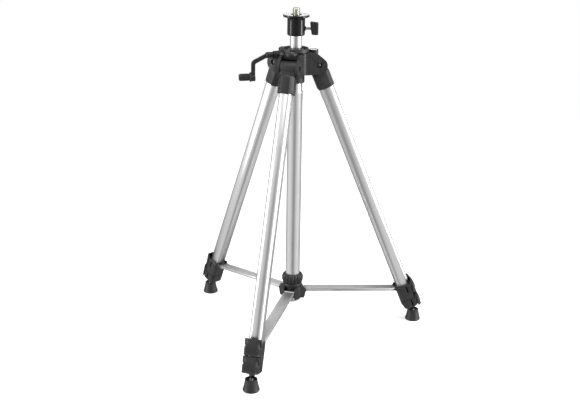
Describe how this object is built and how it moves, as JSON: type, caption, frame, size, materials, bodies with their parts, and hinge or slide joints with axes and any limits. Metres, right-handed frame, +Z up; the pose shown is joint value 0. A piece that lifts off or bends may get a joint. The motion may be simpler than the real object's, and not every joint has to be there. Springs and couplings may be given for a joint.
{
  "type": "crank elevator tripod",
  "caption": "Folding floor tripod for a laser level: telescopic legs with flip locks, geared crank column, mid-level spreader and a flanged head with a 5/8 inch stud.",
  "frame": {"origin": "middle of the footprint box on the floor", "axes": "+Z up along the column, front leg towards -Y"},
  "size_m": [0.5678, 0.495, 0.762],
  "materials": {
    "black_nylon": "moulded, fine grain",
    "gloss_black": "gloss black",
    "aluminium": "satin anodised",
    "steel": "zinc plated",
    "rubber": "matt",
    "vial": "clear cap over tinted fluid"
  },
  "bodies": {
    "tripod_hub": {"hub_body": "black_nylon", "hub_collar": "black_nylon", "bubble_housing": "black_nylon", "bubble_vial": "vial", "column_bush": "black_nylon", "guide_tube": "aluminium", "centre_tube": "aluminium", "pivot_bolt_front": "steel", "pivot_bolt_right": "steel", "pivot_bolt_left": "steel"},
    "column": {"column_tube": "aluminium", "column_rack": "steel", "head_sleeve": "gloss_black", "head_stud": "steel"},
    "clamp_screw": {"head_screw": "steel", "head_knob": "black_nylon"},
    "crank": {"pinion_shaft": "steel", "crank_arm": "black_nylon"},
    "grip": {"crank_grip": "black_nylon"},
    "spreader": {"spreader_hub": "black_nylon"},
    "lock_ring": {"lock_ring": "black_nylon"},
    "leg_front": {"leg_socket_front": "black_nylon", "upper_tube_front": "aluminium", "upper_lock_front": "black_nylon"},
    "middle_front": {"middle_tube_front": "aluminium", "lower_lock_front": "black_nylon"},
    "lower_front": {"lower_tube_front": "aluminium", "ball_stem_front": "steel"},
    "foot_front": {"foot_front": "rubber"},
    "upper_lever_front": {"upper_lever_front": "black_nylon"},
    "lower_lever_front": {"lower_lever_front": "black_nylon"},
    "strut_front": {"strut_front": "aluminium"},
    "strut_link_front": {"strut_link_front": "aluminium"},
    "leg_right": {"leg_socket_right": "black_nylon", "upper_tube_right": "aluminium", "upper_lock_right": "black_nylon"},
    "middle_right": {"middle_tube_right": "aluminium", "lower_lock_right": "black_nylon"},
    "lower_right": {"lower_tube_right": "aluminium", "ball_stem_right": "steel"},
    "foot_right": {"foot_right": "rubber"},
    "upper_lever_right": {"upper_lever_right": "black_nylon"},
    "lower_lever_right": {"lower_lever_right": "black_nylon"},
    "strut_right": {"strut_right": "aluminium"},
    "strut_link_right": {"strut_link_right": "aluminium"},
    "leg_left": {"leg_socket_left": "black_nylon", "upper_tube_left": "aluminium", "upper_lock_left": "black_nylon"},
    "middle_left": {"middle_tube_left": "aluminium", "lower_lock_left": "black_nylon"},
    "lower_left": {"lower_tube_left": "aluminium", "ball_stem_left": "steel"},
    "foot_left": {"foot_left": "rubber"},
    "upper_lever_left": {"upper_lever_left": "black_nylon"},
    "lower_lever_left": {"lower_lever_left": "black_nylon"},
    "strut_left": {"strut_left": "aluminium"},
    "strut_link_left": {"strut_link_left": "aluminium"}
  },
  "joints": [
    {"name": "column_rise", "type": "slide", "parent": "tripod_hub", "child": "column", "axis": [0, 0, 1], "range_m": [-0.022, 0.26]},
    {"name": "crank_turn", "type": "hinge", "parent": "tripod_hub", "child": "crank", "pos_m": [-0.009, 0.08841, 0.657], "axis": [-0.866, -0.5, 0], "range_deg": [-211, 2484]},
    {"name": "grip_spin", "type": "hinge", "parent": "crank", "child": "grip", "pos_m": [-0.106, 0.03241, 0.61], "axis": [-0.866, -0.5, 0], "continuous": true},
    {"name": "clamp_screw_turn", "type": "hinge", "parent": "column", "child": "clamp_screw", "pos_m": [0.02884, 0.08109, 0.717], "axis": [0.9613, 0.2756, 0], "range_deg": [0, 270]},
    {"name": "spreader_slide", "type": "slide", "parent": "tripod_hub", "child": "spreader", "axis": [0, 0, 1], "range_m": [0, 0.17152]},
    {"name": "lock_ring_turn", "type": "hinge", "parent": "spreader", "child": "lock_ring", "pos_m": [0, 0.07282, 0.134], "axis": [0, 0, 1], "range_deg": [0, 120]},
    {"name": "leg_fold_front", "type": "hinge", "parent": "tripod_hub", "child": "leg_front", "pos_m": [0, 0.02492, 0.6388], "axis": [1, 0, 0], "range_deg": [0, 20.4]},
    {"name": "middle_slide_front", "type": "slide", "parent": "leg_front", "child": "middle_front", "axis": [0, -0.3811, -0.9245], "range_m": [0, 0.455]},
    {"name": "lower_slide_front", "type": "slide", "parent": "middle_front", "child": "lower_front", "axis": [0, -0.3811, -0.9245], "range_m": [0, 0.455]},
    {"name": "foot_tilt_front", "type": "hinge", "parent": "lower_front", "child": "foot_front", "pos_m": [0, -0.22948, 0.022], "axis": [1, 0, 0], "range_deg": [-24, 2]},
    {"name": "upper_lock_flip_front", "type": "hinge", "parent": "leg_front", "child": "upper_lever_front", "pos_m": [0, -0.2157, 0.11064], "axis": [-1, 0, 0], "range_deg": [0, 80]},
    {"name": "lower_lock_flip_front", "type": "hinge", "parent": "middle_front", "child": "lower_lever_front", "pos_m": [0, -0.22995, 0.07606], "axis": [-1, 0, 0], "range_deg": [0, 80]},
    {"name": "strut_pivot_front", "type": "hinge", "parent": "leg_front", "child": "strut_front", "pos_m": [0, -0.17965, 0.08605], "axis": [1, 0, 0], "range_deg": [0, 59.01]},
    {"name": "strut_link_pivot_front", "type": "hinge", "parent": "spreader", "child": "strut_link_front", "pos_m": [0, 0.04882, 0.1062], "axis": [1, 0, 0], "range_deg": [0, 79.41]},
    {"name": "leg_fold_right", "type": "hinge", "parent": "tripod_hub", "child": "leg_right", "pos_m": [0.04148, 0.09677, 0.6388], "axis": [-0.5, 0.866, 0], "range_deg": [0, 20.5]},
    {"name": "middle_slide_right", "type": "slide", "parent": "leg_right", "child": "middle_right", "axis": [0.33, 0.1905, -0.9245], "range_m": [0, 0.455]},
    {"name": "lower_slide_right", "type": "slide", "parent": "middle_right", "child": "lower_right", "axis": [0.33, 0.1905, -0.9245], "range_m": [0, 0.455]},
    {"name": "foot_tilt_right", "type": "hinge", "parent": "lower_right", "child": "foot_right", "pos_m": [0.2618, 0.22397, 0.022], "axis": [-0.5, 0.866, 0], "range_deg": [-24, 2]},
    {"name": "upper_lock_flip_right", "type": "hinge", "parent": "leg_right", "child": "upper_lever_right", "pos_m": [0.24987, 0.21709, 0.11064], "axis": [0.5, -0.866, 0], "range_deg": [0, 80]},
    {"name": "lower_lock_flip_right", "type": "hinge", "parent": "middle_right", "child": "lower_lever_right", "pos_m": [0.26221, 0.22421, 0.07606], "axis": [0.5, -0.866, 0], "range_deg": [0, 80]},
    {"name": "strut_pivot_right", "type": "hinge", "parent": "leg_right", "child": "strut_right", "pos_m": [0.21865, 0.19906, 0.08605], "axis": [-0.5, 0.866, 0], "range_deg": [0, 59.01]},
    {"name": "strut_link_pivot_right", "type": "hinge", "parent": "spreader", "child": "strut_link_right", "pos_m": [0.02079, 0.08482, 0.1062], "axis": [-0.5, 0.866, 0], "range_deg": [0, 79.41]},
    {"name": "leg_fold_left", "type": "hinge", "parent": "tripod_hub", "child": "leg_left", "pos_m": [-0.04148, 0.09677, 0.6388], "axis": [-0.5, -0.866, 0], "range_deg": [0, 20.5]},
    {"name": "middle_slide_left", "type": "slide", "parent": "leg_left", "child": "middle_left", "axis": [-0.33, 0.1905, -0.9245], "range_m": [0, 0.455]},
    {"name": "lower_slide_left", "type": "slide", "parent": "middle_left", "child": "lower_left", "axis": [-0.33, 0.1905, -0.9245], "range_m": [0, 0.455]},
    {"name": "foot_tilt_left", "type": "hinge", "parent": "lower_left", "child": "foot_left", "pos_m": [-0.2618, 0.22397, 0.022], "axis": [-0.5, -0.866, 0], "range_deg": [-24, 2]},
    {"name": "upper_lock_flip_left", "type": "hinge", "parent": "leg_left", "child": "upper_lever_left", "pos_m": [-0.24987, 0.21709, 0.11064], "axis": [0.5, 0.866, 0], "range_deg": [0, 80]},
    {"name": "lower_lock_flip_left", "type": "hinge", "parent": "middle_left", "child": "lower_lever_left", "pos_m": [-0.26221, 0.22421, 0.07606], "axis": [0.5, 0.866, 0], "range_deg": [0, 80]},
    {"name": "strut_pivot_left", "type": "hinge", "parent": "leg_left", "child": "strut_left", "pos_m": [-0.21865, 0.19906, 0.08605], "axis": [-0.5, -0.866, 0], "range_deg": [0, 59.01]},
    {"name": "strut_link_pivot_left", "type": "hinge", "parent": "spreader", "child": "strut_link_left", "pos_m": [-0.02079, 0.08482, 0.1062], "axis": [-0.5, -0.866, 0], "range_deg": [0, 79.41]}
  ],
  "couplings": [
    {"joint": "crank_turn", "follows": "column_rise", "rad_per_m": 166.67},
    {"joint": "spreader_slide", "follows": "leg_fold_front", "m_per_rad": 0.48144},
    {"joint": "strut_pivot_front", "follows": "leg_fold_front", "ratio": 2.883},
    {"joint": "strut_link_pivot_front", "follows": "leg_fold_front", "ratio": 3.883},
    {"joint": "leg_fold_right", "follows": "leg_fold_front", "ratio": 1},
    {"joint": "strut_pivot_right", "follows": "leg_fold_front", "ratio": 2.883},
    {"joint": "strut_link_pivot_right", "follows": "leg_fold_front", "ratio": 3.883},
    {"joint": "leg_fold_left", "follows": "leg_fold_front", "ratio": 1},
    {"joint": "strut_pivot_left", "follows": "leg_fold_front", "ratio": 2.883},
    {"joint": "strut_link_pivot_left", "follows": "leg_fold_front", "ratio": 3.883}
  ]
}
